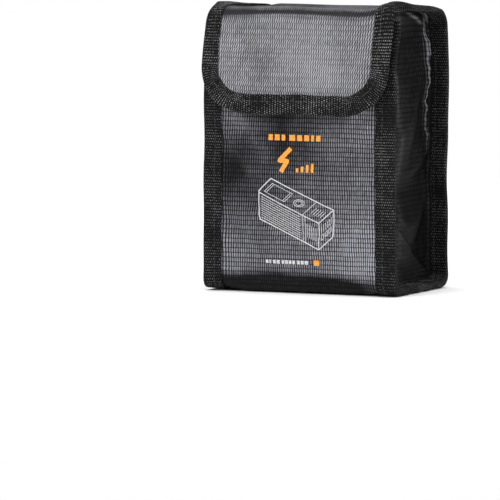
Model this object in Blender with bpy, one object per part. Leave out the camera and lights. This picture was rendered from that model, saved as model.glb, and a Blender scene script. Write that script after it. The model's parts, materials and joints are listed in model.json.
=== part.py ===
"""A battery safe bag: a coated fabric wrap with two recessed side gussets, edge tape on every raw
edge, a fire-resistant lining, a centre divider, two dust flaps and a fold-over lid with a
hook-and-loop closure. Metres, +Z up, front towards -Y, origin under the middle of the bag."""

import math

import bmesh
import bpy
from mathutils import Matrix, Vector

# Overall size. DEPTH runs from the back tape to the face of the closed lid flap.
WIDTH = 0.104
DEPTH = 0.076
HEIGHT = 0.145

# Layers. A depth is measured inwards from the outermost face of the edge tape.
TAPE = 0.0007
FABRIC = 0.0008
LINING = 0.0005
GAP = 0.0003
HOOK_LOOP = 0.0012

FABRIC_OUT = TAPE + GAP
FABRIC_IN = FABRIC_OUT + FABRIC
LINING_OUT = FABRIC_IN + GAP
LINING_IN = LINING_OUT + LINING
EDGE_IN = LINING_IN + GAP + TAPE
FLANGE_IN = LINING_OUT + FABRIC
SEAM_IN = FLANGE_IN + GAP + TAPE

# Folds and edges
TAPE_WIDTH = 0.010
FOLD_RADIUS = 0.009
BASE_RADIUS = 0.008
ARC_STEP = math.radians(7.5)
MOUTH_TOP = 0.137
MOUTH_TAPE = 0.006
GUSSET_TOP = 0.1385
GUSSET_BACK_TOP = HEIGHT - FOLD_RADIUS  # where the back starts to curve into the lid
GUSSET_TOP_CORNER = 0.005
GUSSET_LINING_TOP = GUSSET_TOP - 0.001
GUSSET_FACE = WIDTH / 2 - TAPE_WIDTH - GAP
FLAP_BOTTOM = 0.0915
FLAP_CORNER = 0.024

# Where the layers of the closed flap, the hooks and the loops stack up in front of the bag
BACK = DEPTH / 2
FLAP_FACE = -DEPTH / 2
LOOP_OUT = FABRIC_OUT - GAP - HOOK_LOOP
HOOK_IN = LOOP_OUT - GAP
HOOK_OUT = HOOK_IN - HOOK_LOOP
FRONT = FLAP_FACE + LINING_IN + GAP - HOOK_OUT
STRIP_HEIGHT = 0.025
LOOP_BOTTOM = 0.100
STRIP_HALF = WIDTH / 2 - TAPE_WIDTH - 0.0005

# Each fold is split halfway round, at its hinge. A hinge line stands a little outside its fold.
SPLIT = math.radians(45)
SPLIT_GAP = math.radians(1.2)

# Dust flaps: one on each gusset, folded in under the lid and drooping a little
DUST_LENGTH = 0.040
DUST_ROOT_HALF = 0.027
DUST_TIP_HALF = 0.0225
DUST_TAPE = 0.009
DUST_CORNER = 0.003
DUST_LEAST_CORNER = 0.0004
DUST_DROOP = math.radians(22)
DUST_PANEL_ROOT = 0.0012  # how far each layer starts from the hinge line
DUST_LINING_ROOT = 0.0036
DUST_TAPE_ROOT = 0.0042
DUST_HINGE_Z = GUSSET_TOP + DUST_PANEL_ROOT - 0.0001
DUST_MIDDLE_Y = (FRONT + BACK) / 2

# Divider
DIVIDER_HALF = 0.0003
DIVIDER_TAB_HALF = 0.006
DIVIDER_TAB = 0.0005
DIVIDER_BOTTOM = 0.010
DIVIDER_TOP = MOUTH_TOP - MOUTH_TAPE - 0.0005

OVERRUN = 0.006  # how far a cutter reaches past what it cuts

BLACK_FABRIC = ("coated_fabric", (0.045, 0.045, 0.048), 0.38)
BLACK_TAPE = ("edge_tape", (0.018, 0.018, 0.018), 0.85)
WHITE_LINING = ("lining", (0.72, 0.71, 0.69), 0.75)
HOOK_BLACK = ("hook_loop", (0.010, 0.010, 0.010), 0.95)


def clear_scene():
    for obj in list(bpy.data.objects):
        bpy.data.objects.remove(obj, do_unlink=True)


def new_collection(name):
    made = bpy.data.collections.new(name)
    bpy.context.scene.collection.children.link(made)
    return made


def material(spec):
    """The Principled material of a (name, colour, roughness) entry, made once."""
    name, colour, roughness = spec
    made = bpy.data.materials.get(name)
    if made is None:
        made = bpy.data.materials.new(name)
        made.use_nodes = True
        shader = made.node_tree.nodes["Principled BSDF"]
        shader.inputs["Base Color"].default_value = (*colour, 1)
        shader.inputs["Roughness"].default_value = roughness
        shader.inputs["Metallic"].default_value = 0
        made.diffuse_color = (*colour, 1)
    return made


# Outlines. A run is a list of (point, outward direction) on the outermost face, in a plane.


def arc(centre, radius, start, end):
    """The run along an arc, from one angle to another."""
    steps = max(1, round(abs(end - start) / ARC_STEP))
    run = []
    for i in range(steps + 1):
        angle = start + (end - start) * i / steps
        outward = Vector((math.cos(angle), math.sin(angle)))
        run.append((Vector(centre) + outward * radius, outward))
    return run


def at_depth(run, depth):
    return [point - outward * depth for point, outward in run]


def extended(run, length):
    """The run with both ends carried on straight by length, for cutters."""
    (p0, n0), (p1, _) = run[0], run[1]
    (q0, m0), (q1, _) = run[-1], run[-2]
    before = p0 + (p0 - p1).normalized() * length
    after = q0 + (q0 - q1).normalized() * length
    return [(before, n0), *run, (after, m0)]


def front_fold(start, end):
    centre = (FLAP_FACE + FOLD_RADIUS, HEIGHT - FOLD_RADIUS)
    return arc(centre, FOLD_RADIUS, start, end)


def back_fold(start, end):
    return arc((BACK - FOLD_RADIUS, HEIGHT - FOLD_RADIUS), FOLD_RADIUS, start, end)


def base_run():
    """Round the two bottom edges, front to back."""
    front = (FRONT + BASE_RADIUS, BASE_RADIUS)
    back = (BACK - BASE_RADIUS, BASE_RADIUS)
    quarter = math.pi / 2
    return arc(front, BASE_RADIUS, math.pi, 3 * quarter) + arc(back, BASE_RADIUS, -quarter, 0)


def body_run(mouth):
    """Down the front from the mouth, under the bag, up the back and into the back fold."""
    start = [(Vector((FRONT, mouth)), Vector((-1, 0)))]
    return start + base_run() + back_fold(0, SPLIT - SPLIT_GAP)


def gusset_run(top):
    """The three sewn edges of a gusset, in the plane of the bag's side."""
    front = [(Vector((FRONT, top)), Vector((-1, 0)))]
    back = [(BACK, GUSSET_BACK_TOP), (BACK - GUSSET_TOP_CORNER, top)]
    return front + base_run() + [(Vector(place), Vector((1, 0))) for place in back]


def lid_top_run():
    """From the back fold's split, over the top, to the front fold's split."""
    quarter = math.pi / 2
    return back_fold(SPLIT + SPLIT_GAP, quarter) + front_fold(quarter, 3 * SPLIT - SPLIT_GAP)


def flap_run(bottom):
    """From the front fold's split down to the free end of the flap."""
    end = [(Vector((FLAP_FACE, bottom)), Vector((-1, 0)))]
    return front_fold(3 * SPLIT + SPLIT_GAP, math.pi) + end


def flap_outline(inset):
    """The flap as seen from the front, its lower corners round, open-ended above."""
    half = WIDTH / 2 - inset
    low = FLAP_BOTTOM + inset
    radius = FLAP_CORNER - inset
    top = HEIGHT + OVERRUN
    quarter = math.pi / 2
    left = arc((-half + radius, low + radius), radius, math.pi, 3 * quarter)
    right = arc((half - radius, low + radius), radius, -quarter, 0)
    corners = [point for point, _ in left + right]
    return [Vector((-half, top)), *corners, Vector((half, top))]


def dust_outline(inset, root):
    """A dust flap seen from above: u runs from its hinge to its free edge, v across."""
    tip = DUST_LENGTH - inset
    slope = (DUST_ROOT_HALF - DUST_TIP_HALF) / DUST_LENGTH
    radius = max(DUST_CORNER - inset, DUST_LEAST_CORNER)

    def half(u):
        return DUST_ROOT_HALF - inset - slope * u

    upper = arc((tip - radius, half(tip) - radius), radius, 0, math.pi / 2)
    lower = arc((tip - radius, -half(tip) + radius), radius, -math.pi / 2, 0)
    corners = [point for point, _ in lower + upper]
    return [Vector((root, -half(root))), *corners, Vector((root, half(root)))]


# Solids


def prism(name, outline, low, high, axes, spec=None):
    """A flat outline extruded from low to high. axes maps its plane and its thickness to space."""
    curve = bpy.data.curves.new(name, "CURVE")
    curve.dimensions = "2D"
    curve.fill_mode = "BOTH"
    curve.extrude = (high - low) / 2
    spline = curve.splines.new("POLY")
    spline.points.add(len(outline) - 1)
    for point, place in zip(spline.points, outline):
        point.co = (place.x, place.y, 0, 1)
    spline.use_cyclic_u = True
    drawn = bpy.data.objects.new(name + "_outline", curve)
    SCRAP.objects.link(drawn)
    drawn.matrix_world = axes @ Matrix.Translation((0, 0, (low + high) / 2))
    return meshed(drawn, name, spec)


def meshed(drawn, name, spec):
    """The curve as a mesh object with its caps welded on. A cutter has no spec."""
    bpy.context.view_layer.update()
    graph = bpy.context.evaluated_depsgraph_get()
    mesh = bpy.data.meshes.new_from_object(drawn.evaluated_get(graph))
    mesh.name = name
    weld(mesh)
    obj = bpy.data.objects.new(name, mesh)
    obj.matrix_world = drawn.matrix_world.copy()
    curve = drawn.data
    bpy.data.objects.remove(drawn)
    bpy.data.curves.remove(curve)
    if spec is None:
        obj.hide_render = True
        obj.display_type = "WIRE"
        CUTTERS.objects.link(obj)
    else:
        mesh.materials.clear()
        mesh.materials.append(material(spec))
        BAG.objects.link(obj)
    return obj


def weld(mesh):
    work = bmesh.new()
    work.from_mesh(mesh)
    bmesh.ops.remove_doubles(work, verts=work.verts, dist=1e-6)
    bmesh.ops.recalc_face_normals(work, faces=work.faces)
    work.to_mesh(mesh)
    work.free()


ACROSS = Matrix(((0, 0, 1, 0), (1, 0, 0, 0), (0, 1, 0, 0), (0, 0, 0, 1)))  # outline in YZ
FACING = Matrix(((1, 0, 0, 0), (0, 0, -1, 0), (0, 1, 0, 0), (0, 0, 0, 1)))  # outline in XZ
LEVEL = Matrix.Identity(4)  # outline in XY


def ribbon(name, run, depth, x_range, spec=None):
    """A sheet that follows a run in the YZ plane, between two depths, across x_range."""
    outline = at_depth(run, depth[0]) + at_depth(run, depth[1])[::-1]
    return prism(name, outline, *x_range, ACROSS, spec)


def plate(name, run, depth, x_range, spec=None):
    """The whole area inside a run, as far out as depth, across x_range."""
    return prism(name, at_depth(run, depth), *x_range, ACROSS, spec)


def boolean(obj, cutter, operation="DIFFERENCE"):
    modifier = obj.modifiers.new(operation.lower() + "_" + cutter.name, "BOOLEAN")
    modifier.object = cutter
    modifier.operation = operation
    modifier.solver = "EXACT"
    return obj


def side_range(side, inner, outer):
    """The x range between two distances from the middle, on the side +1 or -1."""
    return (inner, outer) if side > 0 else (-outer, -inner)


def side_name(side):
    return "right" if side > 0 else "left"


# The bag


def make_body():
    half = WIDTH / 2 - FABRIC_OUT
    edge = MOUTH_TOP - FABRIC_OUT
    ribbon("body_wrap", body_run(edge), (FABRIC_OUT, FABRIC_IN), (-half, half), BLACK_FABRIC)
    inside = GUSSET_FACE - FABRIC - GAP
    ribbon("body_lining", body_run(edge), (LINING_OUT, LINING_IN), (-inside, inside), WHITE_LINING)


def make_gusset(side):
    """A pan whose rim is turned outwards into the seams, and its lining."""
    name = side_name(side)
    run = gusset_run(GUSSET_TOP)
    inner = GUSSET_FACE - FABRIC
    rim = side_range(side, inner, WIDTH / 2 - FABRIC_OUT)
    pan = plate("gusset_" + name, run, LINING_OUT, rim, BLACK_FABRIC)
    recess = gusset_run(GUSSET_TOP + OVERRUN)
    beyond = side_range(side, GUSSET_FACE, WIDTH / 2 + OVERRUN)
    boolean(pan, plate("cut_recess_" + name, recess, FLANGE_IN, beyond))
    lining_x = side_range(side, inner - GAP - LINING, inner - GAP)
    lining_run = gusset_run(GUSSET_LINING_TOP)
    plate("gusset_lining_" + name, lining_run, LINING_IN + GAP, lining_x, WHITE_LINING)


def make_side_binding(side):
    """Tape folded round the outer edge of the seam, from the mouth down and up to the lid."""
    name = side_name(side)
    run = body_run(MOUTH_TOP)
    inner = WIDTH / 2 - TAPE_WIDTH
    tape_x = side_range(side, inner, WIDTH / 2)
    tape = ribbon("side_binding_" + name, run, (0, SEAM_IN), tape_x, BLACK_TAPE)
    slot_x = side_range(side, inner - OVERRUN, WIDTH / 2 - TAPE)
    slot = (TAPE, SEAM_IN - TAPE)
    boolean(tape, ribbon("cut_seam_" + name, extended(run, OVERRUN), slot, slot_x))


def make_mouth_binding():
    """Tape folded over the front panel's top edge, between the gussets."""
    half = GUSSET_FACE - FABRIC - 2 * GAP - LINING - GAP
    front = Vector((-1, 0))
    run = [(Vector((FRONT, z)), front) for z in (MOUTH_TOP, MOUTH_TOP - MOUTH_TAPE)]
    tape = ribbon("mouth_binding", run, (0, EDGE_IN), (-half, half), BLACK_TAPE)
    slot_run = [
        (Vector((FRONT, z)), front) for z in (MOUTH_TOP - TAPE, MOUTH_TOP - MOUTH_TAPE - OVERRUN)
    ]
    slot = (TAPE, EDGE_IN - TAPE)
    slot_x = (-half - OVERRUN, half + OVERRUN)
    boolean(tape, ribbon("cut_mouth", slot_run, slot, slot_x))


def make_strip(name, depth, bottom):
    """A straight strip of hook or loop tape, parallel to the front panel."""
    front = Vector((-1, 0))
    run = [(Vector((FRONT, z)), front) for z in (bottom + STRIP_HEIGHT, bottom)]
    return ribbon(name, run, depth, (-STRIP_HALF, STRIP_HALF), HOOK_BLACK)


def make_divider():
    """An upright web with a tab at each end that is sewn to the lining."""
    front = FRONT + LINING_IN + GAP
    back = BACK - LINING_IN - GAP
    right = [
        (DIVIDER_TAB_HALF, back),
        (DIVIDER_TAB_HALF, back - DIVIDER_TAB),
        (DIVIDER_HALF, back - DIVIDER_TAB),
        (DIVIDER_HALF, front + DIVIDER_TAB),
        (DIVIDER_TAB_HALF, front + DIVIDER_TAB),
        (DIVIDER_TAB_HALF, front),
    ]
    outline = [Vector(p) for p in right] + [Vector((-x, y)) for x, y in right[::-1]]
    prism("divider", outline, DIVIDER_BOTTOM, DIVIDER_TOP, LEVEL, WHITE_LINING)


def make_lid_top():
    run = lid_top_run()
    half = WIDTH / 2 - FABRIC_OUT
    ribbon("lid_top_panel", run, (FABRIC_OUT, FABRIC_IN), (-half, half), BLACK_FABRIC)
    ribbon("lid_top_lining", run, (LINING_OUT, LINING_IN), (-half, half), WHITE_LINING)
    for side in (-1, 1):
        name = side_name(side)
        inner = WIDTH / 2 - TAPE_WIDTH
        tape_x = side_range(side, inner, WIDTH / 2)
        tape = ribbon("lid_top_binding_" + name, run, (0, EDGE_IN), tape_x, BLACK_TAPE)
        slot_x = side_range(side, inner - OVERRUN, WIDTH / 2 - TAPE)
        slot = (TAPE, EDGE_IN - TAPE)
        boolean(tape, ribbon("cut_lid_" + name, extended(run, OVERRUN), slot, slot_x))


def flap_sheet(name, depth, inset, spec=None):
    """A layer of the flap: a sheet over the fold and down, trimmed to the flap's outline."""
    wide = (-WIDTH / 2 - OVERRUN, WIDTH / 2 + OVERRUN)
    run = flap_run(FLAP_BOTTOM - OVERRUN)
    if spec is None:
        run = extended(run, OVERRUN)
    sheet = ribbon(name, run, depth, wide, spec)
    trim = prism("trim_" + name, flap_outline(inset), 0, DEPTH / 2 + OVERRUN, FACING)
    return boolean(sheet, trim, "INTERSECT")


def make_flap():
    flap_sheet("flap_panel", (FABRIC_OUT, FABRIC_IN), FABRIC_OUT, BLACK_FABRIC)
    flap_sheet("flap_lining", (LINING_OUT, LINING_IN), FABRIC_OUT, WHITE_LINING)
    tape = flap_sheet("flap_binding", (0, EDGE_IN), 0, BLACK_TAPE)
    boolean(tape, flap_sheet("cut_flap_slot", (TAPE, EDGE_IN - TAPE), TAPE))
    window = prism(
        "cut_flap_window", flap_outline(TAPE_WIDTH), 0, DEPTH / 2 + 2 * OVERRUN, FACING
    )
    boolean(tape, window)


def dust_axes(side):
    """Places a dust flap: u inwards from its hinge and drooping, v along Y, layers downwards."""
    u = Vector((-side * math.cos(DUST_DROOP), 0, -math.sin(DUST_DROOP)))
    v = Vector((0, -side, 0))
    w = u.cross(v)
    hinge = Vector((side * GUSSET_FACE, DUST_MIDDLE_Y, DUST_HINGE_Z))
    return Matrix.Translation(hinge) @ Matrix((u, v, w)).transposed().to_4x4()


def make_dust_flap(side):
    """Fabric, lining and three-sided tape. Height 0 is the fabric's upper face at the hinge."""
    name = side_name(side)
    axes = dust_axes(side)
    below = -FABRIC - GAP
    fabric = dust_outline(FABRIC_OUT, DUST_PANEL_ROOT)
    prism("dust_flap_panel_" + name, fabric, -FABRIC, 0, axes, BLACK_FABRIC)
    lining = dust_outline(FABRIC_OUT, DUST_LINING_ROOT)
    prism("dust_flap_lining_" + name, lining, below - LINING, below, axes, WHITE_LINING)
    low = FABRIC_OUT - EDGE_IN
    edge = dust_outline(0, DUST_TAPE_ROOT)
    tape = prism("dust_flap_binding_" + name, edge, low, FABRIC_OUT, axes, BLACK_TAPE)
    slot = dust_outline(TAPE, -OVERRUN)
    boolean(tape, prism("cut_dust_slot_" + name, slot, low + TAPE, GAP, axes))
    window = dust_outline(DUST_TAPE, -OVERRUN)
    boolean(tape, prism("cut_dust_window_" + name, window, low - OVERRUN, OVERRUN, axes))


def main():
    make_body()
    for side in (-1, 1):
        make_gusset(side)
        make_side_binding(side)
        make_dust_flap(side)
    make_mouth_binding()
    make_strip("loop_strip", (LOOP_OUT, LOOP_OUT + HOOK_LOOP), LOOP_BOTTOM)
    hooks = make_strip("hook_strip", (HOOK_OUT, HOOK_IN), FLAP_BOTTOM + TAPE_WIDTH + GAP)
    within = flap_outline(TAPE_WIDTH + GAP)
    boolean(hooks, prism("trim_hook_strip", within, 0, DEPTH / 2 + OVERRUN, FACING), "INTERSECT")
    make_divider()
    make_lid_top()
    make_flap()


clear_scene()
BAG = new_collection("battery_safe_bag")
CUTTERS = new_collection("cutters")
SCRAP = new_collection("scrap")
main()
bpy.data.collections.remove(SCRAP)
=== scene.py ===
"""Looks of the battery safe bag: every sheet of cloth, its lining, edge tape, stitches and print.

The coated cloth is one strip that runs down the front, under the bag, up the back, over the lid
and down the flap. Each layer is built on that strip from a place across it, a place along it and
a height over it, then draped, so that cloth, lining, tape and thread stay together. A sheet's UV
coordinates are its places across and along, in metres, so the materials use them too.
"""

import json
import math

import bmesh
import bpy
import numpy as np
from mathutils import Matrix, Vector


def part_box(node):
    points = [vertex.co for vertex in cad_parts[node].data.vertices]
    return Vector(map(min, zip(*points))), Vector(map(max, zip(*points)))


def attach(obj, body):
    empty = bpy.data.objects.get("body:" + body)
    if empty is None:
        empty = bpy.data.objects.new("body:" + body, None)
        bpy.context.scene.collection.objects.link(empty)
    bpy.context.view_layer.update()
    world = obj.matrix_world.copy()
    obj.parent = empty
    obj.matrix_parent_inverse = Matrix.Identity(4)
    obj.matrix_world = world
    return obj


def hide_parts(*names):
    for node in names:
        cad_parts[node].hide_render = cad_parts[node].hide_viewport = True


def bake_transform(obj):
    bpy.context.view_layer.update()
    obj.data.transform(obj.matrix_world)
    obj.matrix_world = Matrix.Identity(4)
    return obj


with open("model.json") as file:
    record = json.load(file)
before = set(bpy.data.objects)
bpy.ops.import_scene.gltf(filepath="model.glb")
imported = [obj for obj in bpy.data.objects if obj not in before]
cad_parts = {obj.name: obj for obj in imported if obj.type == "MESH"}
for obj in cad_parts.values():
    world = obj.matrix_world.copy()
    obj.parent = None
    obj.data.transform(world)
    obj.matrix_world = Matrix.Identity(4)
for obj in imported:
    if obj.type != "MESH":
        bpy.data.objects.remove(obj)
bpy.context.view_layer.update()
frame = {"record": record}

MM = 0.001
JOINTS = {j["name"]: j for j in frame["record"]["behaviour"]["joints"]}

# Places, all read from the frame
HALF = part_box("side_binding_right")[1].x
TAPE_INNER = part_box("side_binding_right")[0].x
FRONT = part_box("side_binding_right")[0].y
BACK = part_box("side_binding_right")[1].y
FLAP_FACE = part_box("flap_binding")[0].y
FLAP_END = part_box("flap_binding")[0].z
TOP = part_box("lid_top_binding_right")[1].z
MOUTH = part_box("mouth_binding")[1].z
MOUTH_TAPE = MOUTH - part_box("mouth_binding")[0].z
GUSSET_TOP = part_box("gusset_right")[1].z
GUSSET_X = abs(JOINTS["dust_fold_right"]["pos_m"][0])
DUST_Y = JOINTS["dust_fold_right"]["pos_m"][1]
DUST_Z = JOINTS["dust_fold_right"]["pos_m"][2]
DUST_HALF = (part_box("dust_flap_binding_right")[1].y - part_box("dust_flap_binding_right")[0].y) / 2
MIDDLE_Y = (FRONT + BACK) / 2

# Shape of the cloth
TAPE_WIDTH = HALF - TAPE_INNER
MID_DEPTH = 1.4 * MM  # from the outer face of the tape to the middle of the coated cloth
FOLD_RADIUS = 9 * MM
BASE_RADIUS = 6 * MM
FLAP_CORNER = 24 * MM
CLOTH = (-0.25 * MM, 0.25 * MM)  # the faces of the coated cloth, either side of its middle
LINING = (-0.75 * MM, -0.35 * MM)
EDGE_INSET = 7 * MM  # the cloth ends this far inside the outer edge of its tape
LINING_HALF = GUSSET_X + 2 * MM
ROW = 1.25 * MM
COLUMN = 1.4 * MM

# Tape and thread. Its faces are measured from the middle of the coated cloth
TAPE_TOP = 1.0 * MM
SEAM_UNDER = 2.2 * MM  # where the tape also grips a gusset
FLAP_UNDER = 1.3 * MM
THIN_TAPE = (0.8 * MM, 1.1 * MM)
RIB_PITCH = 1.43 * MM
CHECK = 1.1 * MM
STITCH_LINE = 0.66  # of the tape's width
STITCH_PITCH = 3.4 * MM
THREAD_RADIUS = 0.2 * MM
THREAD_SIDES = 6
THREAD_RINGS = 6  # from one end of a stitch to the other

# Weave of the coated cloth
STRAND = 1.22 * MM
ROW_PITCH = 2.4 * MM

# Gussets and dust flaps
SEAM_GAP = 3.4 * MM  # from the bag's front and back to the gusset's edges
GUSSET_FOOT = 4 * MM  # where the gusset's sheet starts, over the floor
DUST_LENGTH = 40 * MM
DUST_DROOP = math.radians(22)
DUST_INSET = 3 * MM
DUST_TAPER = 4.5 * MM
DUST_TAPE = 8 * MM
SIDE_COLUMNS = 49
RIM_FILLET = 2.2 * MM
ROUNDED_SHARE = 0.95  # of a flat sheet's area, where its corners are cut away
# The crease under the gusset's back top corner, with a painted highlight along it
CREASE_Y = 8 * MM
CREASE_START = 134.8 * MM
CREASE_SLOPE = 0.25
# The folded triangle at its lower front corner, and the roll beside its back seam
CORNER_FOLD = 28 * MM
CORNER_SLOPE = 0.67
ROLL_Y = BACK - 8.5 * MM
PLEAT_Y = -3.5 * MM


# Paths and strips


def line(start, end):
    count = max(2, round(math.dist(start, end) / (0.5 * MM)))
    return np.linspace(start, end, count)


def arc(centre, radius, start, end):
    angle = np.radians(np.linspace(start, end, 1 + round(abs(end - start) / 3)))
    return np.array(centre) + radius * np.stack([np.cos(angle), np.sin(angle)], axis=1)


def joined(*runs):
    """The runs as one path, without the points that repeat."""
    points = np.concatenate(runs)
    step = np.linalg.norm(np.diff(points, axis=0), axis=1)
    return points[np.concatenate([[True], step > 0.01 * MM])]


def lengths_along(path):
    step = np.linalg.norm(np.diff(path, axis=0), axis=1)
    return np.concatenate([[0], np.cumsum(step)])


def right_of(path, *length):
    """Unit vectors to the right of a path's direction."""
    tangent = np.gradient(path, *length, axis=0)
    tangent /= np.linalg.norm(tangent, axis=1)[:, None]
    return np.stack([tangent[:, 1], -tangent[:, 0]], axis=1)


def at_length(length, lengths, values):
    """The two columns of values, at a length between the lengths they are given for."""
    return [np.interp(length, lengths, values[:, k]) for k in (0, 1)]


class Strip:
    """A sheet that is straight across and follows a path lengthwise. Heights are along its
    outward normal, which lies on the right of the path's direction."""

    def __init__(self, path, place):
        self.path, self.place = path, place
        self.along = lengths_along(path)
        self.normal = right_of(path, self.along)

    def at(self, across, along, height):
        """Points in space. The three arrays have one shape."""
        across, along, height = np.broadcast_arrays(across, along, height)
        flat = at_length(along, self.along, self.path)
        side = at_length(along, self.along, self.normal)
        return self.place(across, *(f + s * height for f, s in zip(flat, side)))

    def station(self, point):
        """How far along the path its point nearest to this one is."""
        return self.along[np.linalg.norm(self.path - np.array(point), axis=1).argmin()]


def wrap_path():
    """The middle of the coated cloth, in the YZ plane, from the mouth to the end of the flap."""
    front, back, lid = FRONT + MID_DEPTH, BACK - MID_DEPTH, FLAP_FACE + MID_DEPTH
    low, high = MID_DEPTH, TOP - MID_DEPTH
    base, fold = BASE_RADIUS, FOLD_RADIUS - MID_DEPTH
    return joined(
        line((front, MOUTH), (front, low + base)),
        arc((front + base, low + base), base, 180, 270),
        line((front + base, low), (back - base, low)),
        arc((back - base, low + base), base, 270, 360),
        line((back, low + base), (back, high - fold)),
        arc((back - fold, high - fold), fold, 0, 90),
        line((back - fold, high), (lid + fold, high)),
        arc((lid + fold, high - fold), fold, 90, 180),
        line((lid, high - fold), (lid, FLAP_END)),
    )


def dust_path(side):
    """Up the gusset, over its top edge and along the dust flap, in the XZ plane."""
    turn = 1.2 * MM
    top = DUST_Z - 0.2 * MM
    droop = np.array((-math.cos(DUST_DROOP), -math.sin(DUST_DROOP)))
    up = line((GUSSET_X, GUSSET_FOOT), (GUSSET_X, top - turn))
    over = arc((GUSSET_X - turn, top - turn), turn, 0, 90 + math.degrees(DUST_DROOP))
    path = joined(up, over, line(over[-1], over[-1] + DUST_LENGTH * droop))
    return path * (side, 1)


def in_yz(across, y, z):
    return np.stack([across, y, z], axis=-1)


def in_xz(across, x, z):
    return np.stack([x, across, z], axis=-1)


WRAP = Strip(wrap_path(), in_yz)
S_BACK = WRAP.station((BACK - MID_DEPTH, BASE_RADIUS))
S_SPLIT = WRAP.station((BACK - MID_DEPTH, TOP - 22 * MM))
S_MID_LID = WRAP.station((0, TOP - MID_DEPTH))
S_BACK_FOLD = WRAP.station((BACK - MID_DEPTH, TOP - FOLD_RADIUS)) + 0.25 * math.pi * FOLD_RADIUS
S_FRONT_FOLD = WRAP.station((FLAP_FACE + FOLD_RADIUS, TOP - MID_DEPTH)) + 6 * MM
S_END = WRAP.along[-1]


# Drape: one smooth field that moves every layer together


def smooth(t):
    t = np.clip(t, 0, 1)
    return t * t * (3 - 2 * t)


def rise(value, start, end):
    """0 before start and 1 after end, smoothly."""
    return smooth((value - start) / (end - start))


def hump(value, centre, width):
    """1 at the centre, falling off smoothly either side of it."""
    return np.exp(-(((value - centre) / width) ** 2))


def ripple(a, b, phase):
    """A slow irregular wave between about -1 and 1. a and b are in metres."""
    a, b = a / MM, b / MM
    return (
        np.sin(a / 7.3 + b / 19.1 + phase)
        + np.sin(b / 8.9 - a / 23.7 + 2.1 * phase)
        + np.sin(a / 13.9 + b / 5.7 + 3.7 * phase)
    ) / 3


def drape(points):
    """The points moved as the real cloth lies. The cloth simulation buckles differently if these
    sums change even in their last digits, so they are written out in one order."""
    x, y, z = (points[..., k].copy() for k in range(3))
    forward = smooth((MIDDLE_Y - y) / (MIDDLE_Y - FRONT))
    backward = smooth((y - MIDDLE_Y) / (BACK - MIDDLE_Y))
    across = np.cos(np.clip(x / HALF, -1, 1) * math.pi / 2)
    upright = np.sin(np.clip(z / TOP, 0, 1) * math.pi)
    fin = smooth((np.abs(x) - TAPE_INNER + 4 * MM) / (6 * MM))
    side = np.sign(x)

    # the front and back bulge and wave, and the taped seams wave and stand out
    dy = -forward * across * upright * 1.6 * MM
    dy += backward * across * upright * 1.4 * MM
    dy -= forward * across * ripple(x, z, 0.6) * 0.45 * MM
    dy += fin * ripple(0 * x, z, 1.0 + side) * 0.35 * MM

    dx = fin * side * ripple(0 * x + forward * 40 * MM, z, 2.0) * 0.4 * MM
    lower_left = np.where(side < 0, 0.5, 0) * smooth((100 * MM - z) / (30 * MM))
    dx += fin * side * (0.8 + 0.6 * np.exp(-z / (12 * MM)) + lower_left) * MM
    dx += fin * (side > 0) * backward * smooth((z - 80 * MM) / (20 * MM)) * 0.4 * MM

    # the floor ripples, the lid is full in front, and its back edge is rounded
    low = np.exp(-z / (9 * MM))
    dz = low * across * 1.1 * MM
    dz += low * fin * (np.sin(y / (2.3 * MM) + x / (9 * MM)) + 1) * 0.35 * MM
    high = smooth((z - TOP + 14 * MM) / (12 * MM))
    dz += high * across * (1.9 * forward - 0.2) * MM
    dz += high * ripple(x, y, 4.0) * 0.3 * MM
    rear = np.exp(-((y - BACK + 3 * MM) ** 2 + (z - TOP + 3 * MM) ** 2) / (11 * MM) ** 2)
    dy -= rear * (0.3 + 2.3 * fin) * MM
    dz += rear * (0.5 - 2.5 * fin) * MM

    # the front fold lies back at its ends, where the lid's borders rise, more so on the right.
    # It is sharp in the middle, with a groove under it
    wide = smooth((np.abs(x) - 26 * MM) / (26 * MM))
    fold = smooth((FRONT + 28 * MM - y) / (28 * MM))
    upper = smooth((z - TOP + 32 * MM) / (34 * MM))
    dy += wide * fold * upper * np.where(side < 0, 6.0, 10.0) * MM
    ear_left = 1.9 * smooth((y + 33 * MM) / (12 * MM)) * (1 - smooth((y + 8 * MM) / (26 * MM)))
    ear_right = 4.1 * (1 - smooth((y - FLAP_FACE - 6 * MM) / (58 * MM)))
    ear = np.where(side < 0, ear_left, ear_right) * np.exp(-(((z - TOP) / (11 * MM)) ** 2))
    dz += ear * smooth((np.abs(x) - 34 * MM) / (17 * MM)) * MM
    corner = np.exp(-((y - FLAP_FACE - 3 * MM) ** 2 + (z - TOP + 3 * MM) ** 2) / (5 * MM) ** 2)
    dy -= corner * (1 - wide) * 0.9 * MM
    dz += corner * (1 - wide) * 0.7 * MM
    off_y, off_z = y - FLAP_FACE - 3.6 * MM, z - TOP + 3.6 * MM
    groove = np.exp(-(off_y**2 + off_z**2) / (1.7 * MM) ** 2) * (1 - wide)
    dz -= groove * 0.6 * MM
    dy += groove * 0.6 * MM

    # the flap stands off the front, its borders curl in and its lower edge waves
    on_flap = smooth((FRONT - 1.5 * MM - y) / MM)
    lower = smooth((TOP - 10 * MM - z) / (TOP - 10 * MM - FLAP_END))
    dy -= on_flap * lower * (1.6 + 0.6 * ripple(x, z, 5.0)) * MM
    narrow = np.maximum(on_flap, high * smooth((FLAP_FACE + 30 * MM - y) / (22 * MM)))
    border = smooth((np.abs(x) - 38 * MM) / (14 * MM))
    left_in = 1.5 * border - 0.5 * wide
    right_in = border * (1.0 + upper) + wide * (0.3 + 0.6 * upper)
    dx -= side * narrow * np.where(side < 0, left_in, right_in) * MM
    edge_wave = np.exp(-((z - FLAP_END) / (9 * MM)) ** 2)
    dz += on_flap * edge_wave * 0.5 * np.sin(x / (6.5 * MM) + 1.0) * MM
    moved = np.stack([x + dx, y + dy, z + dz], axis=-1)
    moved[..., 2] = np.maximum(moved[..., 2], 0.1 * MM)
    return moved


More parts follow.
